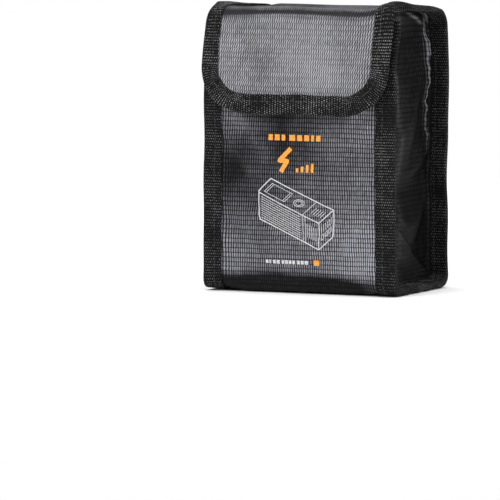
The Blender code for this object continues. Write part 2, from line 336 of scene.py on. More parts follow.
# Meshes


def new_object(name, vertices, faces, uv=None, material=None):
    mesh = bpy.data.meshes.new(name)
    mesh.from_pydata([tuple(v) for v in vertices], [], faces)
    if uv is not None:
        layer = mesh.uv_layers.new(name="UVMap")
        index = np.zeros(len(mesh.loops), np.int32)
        mesh.loops.foreach_get("vertex_index", index)
        layer.data.foreach_set("uv", np.asarray(uv, np.float32)[index].ravel())
    mesh.validate()
    obj = bpy.data.objects.new(name, mesh)
    bpy.context.scene.collection.objects.link(obj)
    if material:
        mesh.materials.append(material)
    return obj


def outward(obj):
    """Turns a closed mesh's faces out and shades it smooth."""
    work = bmesh.new()
    work.from_mesh(obj.data)
    bmesh.ops.recalc_face_normals(work, faces=work.faces)
    work.to_mesh(obj.data)
    work.free()
    obj.data.shade_smooth()
    obj.data.set_sharp_from_angle(angle=math.radians(50))
    return obj


def grid_faces(rows, columns, start=0, flip=False):
    i, j = np.meshgrid(np.arange(rows - 1), np.arange(columns - 1), indexing="ij")
    a = (start + i * columns + j).ravel()
    quads = np.stack([a, a + columns, a + columns + 1, a + 1], axis=1)
    if flip:
        quads = quads[:, ::-1]
    return quads.tolist()


def grid_normals(grid):
    n = np.cross(np.gradient(grid, axis=0), np.gradient(grid, axis=1))
    return n / np.maximum(np.linalg.norm(n, axis=-1, keepdims=True), 1e-12)


def layered(name, inner, outer, uv, material):
    """A closed sheet between two grids of points."""
    rows, columns = inner.shape[:2]
    count = rows * columns
    faces = grid_faces(rows, columns, count) + grid_faces(rows, columns, 0, flip=True)
    index = np.arange(count).reshape(rows, columns)
    rim = np.concatenate([index[:, 0], index[-1, 1:], index[-2::-1, -1], index[0, -2:0:-1]])
    after = np.roll(rim, -1)
    faces += np.stack([rim, after, after + count, rim + count], axis=1).tolist()
    vertices = np.concatenate([inner.reshape(-1, 3), outer.reshape(-1, 3)])
    both = np.concatenate([uv.reshape(-1, 2)] * 2)
    return outward(new_object(name, vertices, faces, both, material))


def shell(name, grid, normals, uv, faces_at, material):
    """A closed sheet of cloth on a grid of points, between two heights along its normals."""
    inner, outer = (grid + normals * h for h in faces_at)
    return layered(name, inner, outer, uv, material)


class Tubes:
    """Closed tubes in one mesh. Each is a run of rings of points, with a cap at either end."""

    def __init__(self):
        self.vertices, self.faces, self.uv = [], [], []

    def add(self, rings, uv):
        """rings is sections x sides x 3 and uv is sections x sides x 2."""
        sections, sides = rings.shape[:2]
        index = len(self.vertices) + np.arange(sections * sides).reshape(sections, sides)
        beside = np.roll(index, -1, axis=1)
        walls = np.stack([index[:-1], beside[:-1], beside[1:], index[1:]], axis=-1)
        self.vertices += rings.reshape(-1, 3).tolist()
        self.faces += walls.reshape(-1, 4).tolist()
        self.faces += [index[0].tolist(), index[-1, ::-1].tolist()]
        self.uv += uv.reshape(-1, 2).tolist()

    def mesh(self, name, material):
        return outward(new_object(name, self.vertices, self.faces, self.uv, material))


SETTLE_FRAMES = 18


def settle(grid, held, growth, cap):
    """Cloth simulation: the sheet is a little larger than the space it is held in, so it
    buckles. held marks the points that are sewn down. Returns how far each point moved."""
    rows, columns = grid.shape[:2]
    obj = new_object("settling", grid.reshape(-1, 3), grid_faces(rows, columns))
    group = obj.vertex_groups.new(name="held")
    group.add([int(i) for i in np.flatnonzero(held.ravel())], 1.0, "REPLACE")
    cloth = obj.modifiers.new("cloth", "CLOTH")
    cloth.settings.vertex_group_mass = "held"
    cloth.settings.quality = 5
    cloth.settings.mass = 0.15
    cloth.settings.tension_stiffness = 12
    cloth.settings.compression_stiffness = 12
    cloth.settings.bending_stiffness = 0.35
    cloth.settings.air_damping = 2
    cloth.settings.shrink_min = -growth
    cloth.settings.effector_weights.gravity = 0.15
    cloth.collision_settings.use_collision = False
    cloth.point_cache.frame_start = 1
    cloth.point_cache.frame_end = SETTLE_FRAMES
    for frame_number in range(1, SETTLE_FRAMES + 1):
        bpy.context.scene.frame_set(frame_number)
    result = obj.evaluated_get(bpy.context.evaluated_depsgraph_get())
    moved = np.array([v.co for v in result.data.vertices]).reshape(grid.shape) - grid
    mesh = obj.data
    bpy.data.objects.remove(obj)
    bpy.data.meshes.remove(mesh)
    bpy.context.scene.frame_set(1)
    far = np.linalg.norm(moved, axis=-1, keepdims=True)
    moved *= cap / np.maximum(far, cap)
    return softened(moved)


def softened(field, passes=2):
    """A field of moves on a grid, averaged a little with its neighbours."""
    for _ in range(passes):
        padded = np.pad(field, ((1, 1), (1, 1), (0, 0)), mode="edge")
        around = padded[:-2, 1:-1] + padded[2:, 1:-1] + padded[1:-1, :-2] + padded[1:-1, 2:]
        field = 0.5 * field + 0.125 * around
    return field


# Materials


class Graph:
    """Short calls for building one material's nodes."""

    def __init__(self, name, roughness, specular=0.5, sheen=0.0):
        self.material = bpy.data.materials.new(name)
        self.material.use_nodes = True
        self.nodes = self.material.node_tree.nodes
        self.links = self.material.node_tree.links
        self.shader = self.nodes["Principled BSDF"]
        self.shader.inputs["Roughness"].default_value = roughness
        self.shader.inputs["Specular IOR Level"].default_value = specular
        self.shader.inputs["Sheen Weight"].default_value = sheen
        self.shader.inputs["Sheen Roughness"].default_value = 0.4
        place = self.nodes.new("ShaderNodeUVMap")
        place.uv_map = "UVMap"
        split = self.nodes.new("ShaderNodeSeparateXYZ")
        self.links.new(place.outputs[0], split.inputs[0])
        self.uv, self.u, self.v = place.outputs[0], split.outputs[0], split.outputs[1]

    def plug(self, value, socket):
        if isinstance(value, bpy.types.NodeSocket):
            self.links.new(value, socket)
        else:
            socket.default_value = value

    def math(self, operation, a, b=0.0, c=0.0):
        node = self.nodes.new("ShaderNodeMath")
        node.operation = operation
        for value, socket in zip((a, b, c), node.inputs):
            self.plug(value, socket)
        return node.outputs[0]

    def plus(self, a, b):
        return self.math("ADD", a, b)

    def times(self, a, b):
        return self.math("MULTIPLY", a, b)

    def fit(self, a, scale, offset):
        return self.math("MULTIPLY_ADD", a, scale, offset)

    def ridge(self, at, pitch, sharpness=1.0):
        """A row of rounded ridges, 0 in the gaps and 1 on top, one for each pitch."""
        wave = self.math("SINE", self.times(at, math.pi / pitch))
        return self.math("POWER", self.math("ABSOLUTE", wave), sharpness)

    def noise(self, scale, detail=2.0, stretch=(1, 1, 1)):
        """Noise on the cloth, in features per metre."""
        mapping = self.nodes.new("ShaderNodeMapping")
        self.plug(self.uv, mapping.inputs["Vector"])
        mapping.inputs["Scale"].default_value = [scale * k for k in stretch]
        node = self.nodes.new("ShaderNodeTexNoise")
        node.inputs["Scale"].default_value = 1
        node.inputs["Detail"].default_value = detail
        self.links.new(mapping.outputs[0], node.inputs["Vector"])
        return node.outputs[0]

    def bell(self, at, centre, width):
        """1 at the centre, falling off smoothly either side of it."""
        off = self.math("DIVIDE", self.math("SUBTRACT", at, centre), width)
        return self.math("EXPONENT", self.times(self.times(off, off), -1.0))

    def rise(self, at, start, end):
        """0 before start and 1 after end."""
        slope = self.math("DIVIDE", self.math("SUBTRACT", at, start), end - start)
        return self.math("MINIMUM", self.math("MAXIMUM", slope, 0.0), 1.0)

    def chance(self, a, b=0.0):
        """An even random number from 0 to 1 for each pair of whole numbers."""
        pair = self.nodes.new("ShaderNodeCombineXYZ")
        self.plug(a, pair.inputs[0])
        self.plug(b, pair.inputs[1])
        node = self.nodes.new("ShaderNodeTexWhiteNoise")
        node.noise_dimensions = "2D"
        self.links.new(pair.outputs[0], node.inputs["Vector"])
        return node.outputs["Value"]

    def ramp(self, value, *stops):
        """A colour ramp. A stop is (position, (red, green, blue))."""
        node = self.nodes.new("ShaderNodeValToRGB")
        elements = node.color_ramp.elements
        while len(elements) < len(stops):
            elements.new(0.5)
        for element, (position, colour) in zip(elements, stops):
            element.position = position
            element.color = (*colour, 1)
        self.plug(value, node.inputs[0])
        return node.outputs[0]

    def mix(self, factor, a, b):
        node = self.nodes.new("ShaderNodeMix")
        node.data_type = "RGBA"
        self.plug(factor, node.inputs[0])
        self.plug(a if isinstance(a, bpy.types.NodeSocket) else (*a, 1), node.inputs[6])
        self.plug(b if isinstance(b, bpy.types.NodeSocket) else (*b, 1), node.inputs[7])
        return node.outputs[2]

    def bump(self, height, distance, strength=1.0):
        node = self.nodes.new("ShaderNodeBump")
        node.inputs["Distance"].default_value = distance
        node.inputs["Strength"].default_value = strength
        self.plug(height, node.inputs["Height"])
        self.links.new(node.outputs[0], self.shader.inputs["Normal"])

    def colour(self, value):
        self.plug(value, self.shader.inputs["Base Color"])

    def roughness(self, value):
        self.plug(value, self.shader.inputs["Roughness"])


def grey(level, blue=0.0):
    return (level, level, level * (1 + blue))


def coated_cloth(name, tones, painted_light, ties, specular, patchy, lid_lit_tones=None):
    """Coated glass cloth: columns of raised shiny strands, tied down by cross threads in rows.
    Its tone varies in random patches round a level of painted light and painted shade that the
    given function lays on. ties is how deep the cross threads press in. Towards the lid they are
    shallower and the tones turn into the lid's tones, a lighter copy that is painted light where
    the lid and flap catch the light. On the lid the cloth is rough, and on the flap its strands lean."""
    g = Graph(name, 0.4, specular=specular)
    lid = g.rise(g.v, S_SPLIT - 40 * MM, S_MID_LID) if lid_lit_tones else 0.0
    flap_part = g.rise(g.v, S_FRONT_FOLD - MM, S_FRONT_FOLD + 4 * MM) if lid_lit_tones else 0.0
    # the weave: rows wander along, strands sway and lean across
    rows = g.math("DIVIDE", g.fit(g.noise(60, 1.0), 1.0 * MM, g.v), ROW_PITCH)
    tilt = g.math("SUBTRACT", g.math("FRACT", rows), 0.5)
    sway = g.times(g.math("SUBTRACT", g.noise(90, 1.5), 0.5), 1.1 * MM)
    lean = g.fit(flap_part, 0.35 * STRAND, 0.1 * STRAND)
    u = g.plus(g.fit(tilt, lean, g.u), sway)
    strands = g.ridge(u, STRAND, 1.9)
    tied = g.math("MINIMUM", g.times(g.ridge(rows, 1.0), 1.6), 1.0)
    loss = g.times(g.math("SUBTRACT", 1.0, tied), g.fit(lid, -0.55, ties))
    height = g.times(strands, g.math("SUBTRACT", 1.0, loss))
    # how brightly each cell of it shows
    cell = g.chance(g.math("FLOOR", g.math("DIVIDE", u, STRAND)), g.math("FLOOR", rows))
    bands = g.fit(g.noise(420, 1.0, (0.06, 1, 1)), 0.7, 0.62)
    grain = g.fit(g.noise(1500, 1.0, (1, 0.3, 1)), 0.7, 0.62)
    # random tone patches, plus the painted light and painted shade that the given function lays on
    tone_patches_and_painted_light = g.times(g.math("SUBTRACT", g.noise(30, 2.0, (1, 0.6, 1)), 0.5), patchy)
    tone_patches_and_painted_light = g.plus(tone_patches_and_painted_light, painted_light(g))
    tone_patches_and_painted_light = g.math("MINIMUM", g.math("MAXIMUM", tone_patches_and_painted_light, 0.08), 1.3)
    lit = height
    for share in (g.fit(cell, 0.3, 0.8), bands, grain, tone_patches_and_painted_light):
        lit = g.times(lit, share)
    colours = []
    # the second ramp, in the lid's lighter tones, is painted light on the lid and flap
    for dark, bright in (tones, lid_lit_tones or tones):
        stops = ((0.04, dark), (0.35, mixed(dark, bright, 0.4)), (0.85, bright))
        colours.append(g.ramp(lit, *stops))
    g.colour(g.mix(lid, *colours))
    rough = g.times(g.math("SUBTRACT", lid, flap_part), 0.5)
    g.roughness(g.plus(g.fit(grain, 0.2, 0.25), rough))
    g.bump(height, 0.14 * MM, 0.7)
    return g.material


def mixed(a, b, share):
    return tuple(p * (1 - share) + q * share for p, q in zip(a, b))


def wrap_painted_light(g):
    """The coated cloth's painted light and painted shade. The front gets painted highlights, most on
    the right, low down and at its upper left, and painted shade where the cloth goes under the bag.
    The back and lid are painted at one low level, with a painted highlight along the lid's front
    edge and a painted shadow in the groove under it, and the flap gets an even painted sheen."""
    back = g.rise(g.v, S_BACK - 4 * MM, S_BACK + 12 * MM)
    # painted highlights on the front: on the right, low down and at the upper left
    right = g.times(g.rise(g.u, 4 * MM, 34 * MM), 0.5)
    low = g.times(g.rise(g.v, 70 * MM, 118 * MM), 0.5)
    left = g.times(g.bell(g.u, -34 * MM, 10 * MM), g.bell(g.v, 46 * MM, 13 * MM))
    # painted shade where the cloth curves under the bag
    under = g.times(g.rise(g.v, MOUTH - 12 * MM, MOUTH - 5 * MM), -1.2)
    total = g.fit(left, 0.4, 0.25)
    for part in (right, low, under):
        total = g.plus(total, part)
    # the back, lid and flap start from one low painted level
    total = g.fit(back, 0.24, g.times(total, g.math("SUBTRACT", 1.0, back)))
    # an even painted sheen on the flap, a painted highlight along the lid's front edge and a painted
    # shadow in the groove under it
    on_flap = g.times(g.rise(g.v, S_FRONT_FOLD, S_FRONT_FOLD + 5 * MM), 0.72)
    front_edge = g.times(g.bell(g.v, S_FRONT_FOLD - 6 * MM, 4 * MM), 0.3)
    groove = g.times(g.bell(g.v, S_FRONT_FOLD + 0.3 * MM, 1.1 * MM), -0.7)
    for part in (on_flap, front_edge, groove):
        total = g.plus(total, part)
    return total


def side_painted_light(g):
    """The gusset's painted light: it is painted dull, with a soft stripe of painted sheen beside its
    front seam and a painted paler lower corner. The roll beside its back seam and the crease under
    its top corner get painted highlights."""
    # a stripe of painted sheen beside the front seam, over a low painted level
    stripe = g.fit(g.bell(g.u, PLEAT_Y, 3.5 * MM), 0.22, 0.12)
    stripe = g.times(stripe, g.fit(g.rise(g.v, 20 * MM, 110 * MM), 0.6, 0.6))
    # a painted paler lower front corner
    slant = g.fit(g.u, CORNER_SLOPE, g.v)
    corner = g.times(g.rise(slant, CORNER_FOLD, CORNER_FOLD - 5 * MM), 0.08)
    # painted highlights on the roll and along the crease under the top corner
    roll = g.times(g.bell(g.u, ROLL_Y, 1.3 * MM), g.rise(g.v, 62 * MM, 95 * MM))
    level = g.fit(g.u, -CREASE_SLOPE, CREASE_START + CREASE_SLOPE * CREASE_Y)
    along = g.times(g.rise(g.u, 4 * MM, 9 * MM), g.rise(g.u, 28 * MM, 22 * MM))
    crease = g.times(g.bell(g.v, level, 0.9 * MM), along)
    return g.fit(crease, 1.2, g.fit(roll, 1.1, g.plus(stripe, corner)))


def edge_tape(name, bright):
    """Matt tape woven in a small check, so that it shows rows of pale dots on near-black."""
    g = Graph(name, 0.85, specular=0.12)
    rib = g.ridge(g.u, RIB_PITCH, 1.6)
    odd = g.math("MODULO", g.math("FLOOR", g.math("DIVIDE", g.u, RIB_PITCH)), 2.0)
    checks = g.ridge(g.fit(odd, 0.5 * CHECK, g.v), CHECK, 1.3)
    twist = g.fit(g.noise(1500, 1.0), 1.6, -0.15)
    wear = g.fit(g.noise(60, 2.0), 1.4, 0.2)
    lit = g.times(rib, g.fit(checks, 0.75, 0.25))
    lit = g.times(g.times(lit, twist), wear)
    g.colour(g.ramp(lit, (0.15, grey(0.003)), (0.4, grey(0.014)), (0.75, grey(bright))))
    g.bump(g.plus(rib, g.times(checks, 0.5)), 0.12 * MM, 0.7)
    return g.material


def white_lining():
    """Plain-woven white fire cloth."""
    g = Graph("lining_weave", 0.62, specular=0.4, sheen=0.15)
    warp = g.ridge(g.u, 0.7 * MM)
    weft = g.ridge(g.v, 0.7 * MM)
    height = g.math("MAXIMUM", warp, weft)
    stain = g.noise(60, 3.0)
    weave = g.ramp(height, (0.2, (0.26, 0.26, 0.25)), (0.9, (0.56, 0.55, 0.53)))
    g.colour(g.mix(g.times(stain, 0.4), weave, (0.42, 0.41, 0.39)))
    g.bump(height, 0.08 * MM, 0.6)
    return g.material


def pile_material():
    g = Graph("hook_loop_pile", 0.9, specular=0.3, sheen=0.5)
    fuzz = g.noise(1400, 3.0)
    g.colour(g.ramp(fuzz, (0.3, (0.003, 0.003, 0.003)), (0.8, (0.022, 0.022, 0.023))))
    g.bump(fuzz, 0.3 * MM, 1.0)
    return g.material


def thread_material():
    g = Graph("black_thread", 0.55, specular=0.4, sheen=0.3)
    ply = g.ridge(g.plus(g.u, g.v), 0.35 * MM)
    g.colour(g.ramp(ply, (0.1, (0.004, 0.004, 0.004)), (0.9, (0.028, 0.028, 0.028))))
    g.bump(ply, 0.05 * MM, 0.6)
    return g.material


def print_material(name, colour):
    """Screen print that has sunk into the weave."""
    g = Graph(name, 0.5, specular=0.4)
    gaps = g.noise(1100, 1.0)
    faded = tuple(0.62 * c for c in colour)
    g.colour(g.ramp(gaps, (0.3, faded), (0.6, colour)))
    g.bump(gaps, 0.05 * MM, 0.4)
    return g.material


BODY_TONES = (grey(0.002, 0.15), grey(0.34, 0.12))
# the lid's tones are a lighter copy of the body's: painted light where the lid and flap catch the
# light
LID_LIT_TONES = (grey(0.014, 0.1), grey(0.36, 0.07))
# the gusset's tones are a darker copy of the same coated cloth's: painted shade on the side that
# faces away from the light
SHADED_SIDE_TONES = (grey(0.002), grey(0.2, 0.08))
WRAP_CLOTH = coated_cloth(
    "coated_fabric_weave", BODY_TONES, wrap_painted_light, 0.8, 0.1, 1.3, lid_lit_tones=LID_LIT_TONES
)
SHADED_SIDE_CLOTH = coated_cloth("coated_fabric_gusset_shaded", SHADED_SIDE_TONES, side_painted_light, 0.8, 0.05, 0.4)
# the flap's tape is painted lighter than the same tape on the sides: painted light where the flap
# catches the light
LIT_FLAP_TAPE = edge_tape("edge_tape_flap_lit", 0.26)
SIDE_TAPE = edge_tape("edge_tape_side", 0.15)
WHITE = white_lining()
PILE = pile_material()
THREAD = thread_material()
ORANGE = print_material("orange_print", (0.95, 0.36, 0.045))
WHITE_INK = print_material("white_print", (0.66, 0.66, 0.67))


# Edges: tape and stitches along the border of a strip


class Edge:
    """A border of a strip, as a path of (across, along) points with the sheet on its right."""

    def __init__(self, strip, path, shape=None):
        self.strip, self.path, self.shape = strip, path, shape
        self.length = lengths_along(path)
        self.inward = right_of(path, self.length)

    def at(self, length, inset, height):
        """Draped points, at a length along the border, a distance in from it and a height."""
        length, inset, height = np.broadcast_arrays(length, inset, height)
        spot = at_length(length, self.length, self.path)
        into = at_length(length, self.length, self.inward)
        across, along = (p + q * inset for p, q in zip(spot, into))
        points = self.strip.at(across, along, height)
        if self.shape:
            points = points + self.shape(across, along)
        return drape(points)


def tape_profile(width, top, under):
    """The folded tape's section: (inset, height) points round it, with a stitched groove."""
    nose = 0.8 * MM
    inset = np.linspace(width, nose, 12)
    dip = 0.22 * MM * hump(inset, STITCH_LINE * width, 0.5 * MM)
    crown = 0.12 * MM * np.sin(np.linspace(0, math.pi, len(inset)))
    upper = np.stack([inset, top + crown - dip], axis=1)
    angle = np.radians(np.linspace(75, -75, 6))
    middle, half = (top - under) / 2, (top + under) / 2
    bend = np.stack([nose * (1 - np.cos(angle)), middle + half * np.sin(angle)], axis=1)
    lower = np.stack([inset, -under - crown + dip], axis=1)[::-1]
    return np.concatenate([upper, bend, lower])


def tape(name, edge, width, faces_at, material, ends=None, thinner=None):
    """Tape folded over an edge, ribbed across, between two lengths. faces_at is how far it
    reaches over and under the cloth's middle. thinner gives, for each length, how much less it
    reaches under."""
    start, end = ends or (0, edge.length[-1])
    top, under = faces_at
    section = tape_profile(width, top, under)
    count = max(4, round((end - start) / (RIB_PITCH / 4)))
    length = np.linspace(start, end, count + 1)[:, None]
    inset, height = section[None, :, 0], section[None, :, 1]
    middle = (top - under) / 2
    if thinner:
        height = height + np.where(height < middle, thinner(length), 0)
    rib = 0.09 * MM * np.cos(2 * math.pi * length / RIB_PITCH + math.pi)
    height = height + rib * np.sign(height - middle)
    inset = inset + 0.12 * MM * np.sin(length / (2.9 * MM)) * (inset > 0.5 * width)
    tubes = Tubes()
    uv = np.stack(np.broadcast_arrays(length, lengths_along(section)), axis=-1)
    tubes.add(edge.at(length, inset, height), uv)
    return tubes.mesh(name, material)


def stitches(name, edge, width, faces_at, ends=None):
    """Thread along a tape, on its upper face and, if faces_at has two, on its under face. It
    dips into the tape between stitches."""
    start, end = ends or (0, edge.length[-1])
    angle = np.linspace(0, 2 * math.pi, THREAD_SIDES, endpoint=False)
    share = np.linspace(0, 1, THREAD_RINGS)[:, None]
    swell = THREAD_RADIUS * np.sqrt(np.clip(1 - (1.9 * share - 0.95) ** 4, 0.02, 1))
    tubes = Tubes()
    for face, way in zip(faces_at, (1, -1)):
        height = way * (face - 0.1 * MM + 0.12 * MM * np.sin(share * math.pi))
        for n in range(int((end - start) / STITCH_PITCH)):
            length = start + STITCH_PITCH * (n + 0.12 + 0.76 * share)
            inset = STITCH_LINE * width + swell * np.cos(angle)
            uv = np.stack(np.broadcast_arrays(length, angle * THREAD_RADIUS), axis=-1)
            tubes.add(edge.at(length, inset, height + swell * np.sin(angle)), uv)
    return tubes.mesh(name, THREAD)


# The coated strip and its lining


def flap_narrowing(along, half, corner):
    """The half width of the flap's outline: full, then round at its lower corners."""
    left = np.clip(S_END - along, 0, None)
    inside = np.clip(corner - left, 0, corner)
    return half - corner + np.sqrt(np.maximum(corner**2 - inside**2, 0))


def strip_rows(start, end):
    return np.linspace(start, end, 1 + round((end - start) / ROW))


class Sheet:
    """A layer of the wrap strip, on a grid that narrows with the flap, draped and settled."""

    def __init__(self, half):
        body = strip_rows(0, S_SPLIT)
        rear = strip_rows(S_SPLIT, S_MID_LID)[1:]
        last = S_END - EDGE_INSET
        flat = strip_rows(S_MID_LID, last - 9 * MM)[1:]
        corner = last - 9 * MM * np.cos(np.linspace(0, math.pi / 2, 14))[1:]
        self.rows = np.concatenate([body, rear, flat, corner])
        self.split = len(body) - 1
        self.mid_lid = len(body) + len(rear) - 1
        width = flap_narrowing(self.rows + EDGE_INSET, half, FLAP_CORNER - EDGE_INSET)
        columns = 1 + 2 * round(half / COLUMN)
        self.share = np.linspace(-1, 1, columns)
        self.across = self.share[None, :] * width[:, None]
        self.along = np.broadcast_to(self.rows[:, None], self.across.shape)
        self.grid = drape(WRAP.at(self.across, self.along, 0))
        self.uv = np.stack([self.across, self.along], axis=-1)

    def settle(self):
        """Lets the cloth buckle between its seams. The folds and the taped borders are held."""
        seam = TAPE_INNER + 0.5 * MM
        width = flap_narrowing(self.rows, HALF, FLAP_CORNER)[:, None] - TAPE_WIDTH
        held = np.abs(self.across) > np.minimum(seam, width)
        for fold in (S_BACK_FOLD, S_FRONT_FOLD):
            held |= np.abs(self.along - fold) < 9 * MM
        held |= self.along > S_END - TAPE_WIDTH
        held |= self.along < 3 * MM
        moved = settle(self.grid, held, 0.012, 1.3 * MM)
        normals = grid_normals(self.grid)
        lift = (moved * normals).sum(axis=-1, keepdims=True)
        on_flap = self.along[..., None] > S_FRONT_FOLD
        lift = np.where(on_flap, np.abs(lift), lift)
        self.grid = self.grid + lift * normals

    def point(self, x, z, height):
        """A point on the front panel of the settled cloth."""
        along = MOUTH - z
        i = np.interp(along, self.rows, np.arange(len(self.rows)))
        j = (x / self.across[0, -1] + 1) / 2 * (len(self.share) - 1)
        i0, j0 = (int(min(max(k, 0), n - 2)) for k, n in zip((i, j), self.grid.shape))
        fi, fj = i - i0, j - j0
        near = self.grid[i0, j0] * (1 - fj) + self.grid[i0, j0 + 1] * fj
        far = self.grid[i0 + 1, j0] * (1 - fj) + self.grid[i0 + 1, j0 + 1] * fj
        normal = self.normals[i0, j0]
        return near * (1 - fi) + far * fi + normal * height

    def pieces(self, names, faces_at, material, half=None):
        """The layer as three closed sheets, split where it crosses a joint. half is how far
        out from the middle it reaches, if less than the whole."""
        self.normals = grid_normals(self.grid)
        made = []
        keep = slice(None)
        if half:
            kept = np.flatnonzero(np.abs(self.across[0]) < half)
            keep = slice(kept[0], kept[-1] + 1)
        spans = [(0, self.split), (self.split, self.mid_lid), (self.mid_lid, len(self.rows) - 1)]
        for name, (first, last) in zip(names, spans):
            part = (slice(first, last + 1), keep)
            layer = (field[part] for field in (self.grid, self.normals, self.uv))
            made.append(shell(name, *layer, faces_at, material))
        return made


BACK_HINGE = Vector(JOINTS["lid_fold"]["pos_m"])
FRONT_HINGE = Vector(JOINTS["flap_fold"]["pos_m"])


def over_back_fold(obj):
    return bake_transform(obj)


def over_front_fold(obj):
    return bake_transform(obj)


def finish_piece(obj, slot, node=None):
    if node:
        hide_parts(node)
    return obj


def taped(strap, seam, place, node):
    """A tape and its stitches, put in their place. The tape stands for the node."""
    for obj in (strap, seam):
        place(obj)
    finish_piece(strap, "edge_tape", node)
    finish_piece(seam, "edge_tape")


def on_bag(obj):
    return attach(obj, "bag")


def make_wrap():
    """The coated cloth and its lining, each in three pieces along the strip."""
    sheet = Sheet(HALF - EDGE_INSET)
    sheet.settle()
    cloth = {
        "body_wrap_cloth": "body_wrap",
        "lid_cloth_rear": "lid_top_panel",
        "lid_cloth_front": "flap_panel",
    }
    lining = {
        "body_lining_cloth": "body_lining",
        "lid_lining_rear": "lid_top_lining",
        "lid_lining_front": "flap_lining",
    }
    parts = (
        (on_bag, S_SPLIT, "stretched", 1.0),
        (over_back_fold, S_MID_LID - S_SPLIT, "folded", 1.0),
        (over_front_fold, S_END - S_MID_LID - EDGE_INSET, "folded", ROUNDED_SHARE),
    )
    cloth_width, lining_width = 2 * (HALF - EDGE_INSET), 2 * LINING_HALF - COLUMN
    for nodes, slot, faces_at, material, half, width in (
        (cloth, "coated_fabric", CLOTH, WRAP_CLOTH, None, cloth_width),
        (lining, "lining", LINING, WHITE, LINING_HALF, lining_width),
    ):
        made = sheet.pieces(nodes, faces_at, material, half)
        for obj, node, (place, length, held, share) in zip(made, nodes.values(), parts):
            place(obj)
            finish_piece(obj, slot, node)
    return sheet


def border(side):
    """The strip's left or right border, with the sheet on its right, from end to end, and a
    function between places along the strip and lengths along the border, either way round."""
    along = strip_rows(0, S_MID_LID)
    if side > 0:
        along = along[::-1]
    edge = Edge(WRAP, np.stack([np.full_like(along, side * HALF), along], axis=1))
    return edge, (lambda s: s if side < 0 else S_MID_LID - s)


def make_side_tapes():
    """Tape from the mouth to the lid's middle. It grips the gusset's edge too, up to the lid."""
    both_faces = (TAPE_TOP, SEAM_UNDER)
    for side, name in ((-1, "left"), (1, "right")):
        edge, at = border(side)

        def thinner(length):
            return 0.9 * MM * rise(at(length), S_SPLIT + 10 * MM, S_SPLIT + 15 * MM)

        for piece, node, low, high, place, sewn in (
            ("side_tape_", "side_binding_", 0, S_SPLIT, on_bag, both_faces),
            ("lid_tape_rear_", "lid_top_binding_", S_SPLIT, S_MID_LID, over_back_fold, (TAPE_TOP,)),
        ):
            ends = sorted((at(low), at(high)))
            strap = tape(piece + name, edge, TAPE_WIDTH, both_faces, SIDE_TAPE, ends, thinner)
            seam = stitches(piece + "stitches_" + name, edge, TAPE_WIDTH, sewn, ends)
            taped(strap, seam, place, node + name)


def flap_border():
    """From the middle of the lid down the left side, round the flap and up the right side."""
    corner = S_END - FLAP_CORNER
    inner = HALF - FLAP_CORNER
    return joined(
        line((-HALF, S_MID_LID), (-HALF, corner)),
        arc((-inner, corner), FLAP_CORNER, 180, 90),
        line((-inner, S_END), (inner, S_END)),
        arc((inner, corner), FLAP_CORNER, 90, 0),
        line((HALF, corner), (HALF, S_MID_LID)),
    )


def make_flap_tape():
    edge = Edge(WRAP, flap_border())
    faces_at = (TAPE_TOP, FLAP_UNDER)
    strap = tape("flap_tape", edge, TAPE_WIDTH, faces_at, LIT_FLAP_TAPE)
    seam = stitches("flap_tape_stitches", edge, TAPE_WIDTH, faces_at)
    taped(strap, seam, over_front_fold, "flap_binding")


def make_mouth_tape():
    half = GUSSET_X - 2 * MM
    across = np.linspace(half, -half, 60)
    edge = Edge(WRAP, np.stack([across, np.zeros_like(across)], axis=1))
    faces_at = (0.9 * MM, 1.5 * MM)
    strap = tape("mouth_tape", edge, MOUTH_TAPE, faces_at, SIDE_TAPE)
    seam = stitches("mouth_tape_stitches", edge, MOUTH_TAPE, faces_at)
    taped(strap, seam, on_bag, "mouth_binding")


# Gussets and dust flaps


def gusset_shape(y, z, side):
    """The gusset's creases and the bunched roll beside its back seam, as moves outwards."""
    depth = (y - DUST_Y) / (BACK - DUST_Y)
    middle = np.clip(1 - np.abs(depth) / 0.8, 0, 1)
    tuck = -4.2 * MM * middle * np.exp(-(((z - GUSSET_TOP + 13 * MM) / (12 * MM)) ** 2))
    roll_y = ROLL_Y + 0.6 * MM * np.sin(z / (9 * MM))
    window = smooth((z - 62 * MM) / (14 * MM)) * smooth((GUSSET_TOP - 6 * MM - z) / (8 * MM))
    bunch = 1 + 0.25 * np.sin(z / (1.5 * MM)) * np.sin(z / (4.1 * MM) + side)
    roll = 2.4 * MM * window * bunch * hump(y, roll_y, 1.7 * MM)
    pleat = 1.0 * MM * smooth((z - 55 * MM) / (30 * MM)) * hump(y, PLEAT_Y, 3.5 * MM)
    slant = z - GUSSET_FOOT - CORNER_FOLD + CORNER_SLOPE * y
    corner = 2.0 * MM * smooth(-slant / (3 * MM)) * (1 - 0.8 * smooth(-slant / (22 * MM)))
    wave = 0.7 * MM * ripple(1.4 * y, 0.7 * z, 1.7 + side)
    below = z - GUSSET_FOOT - CREASE_START + CREASE_SLOPE * (y - CREASE_Y)
    crease = 1.1 * MM * hump(below, 0, 1.5 * MM) * smooth(1.5 - np.abs(depth - 0.4) / 0.3)
    return tuck + pleat + corner + crease + wave, roll


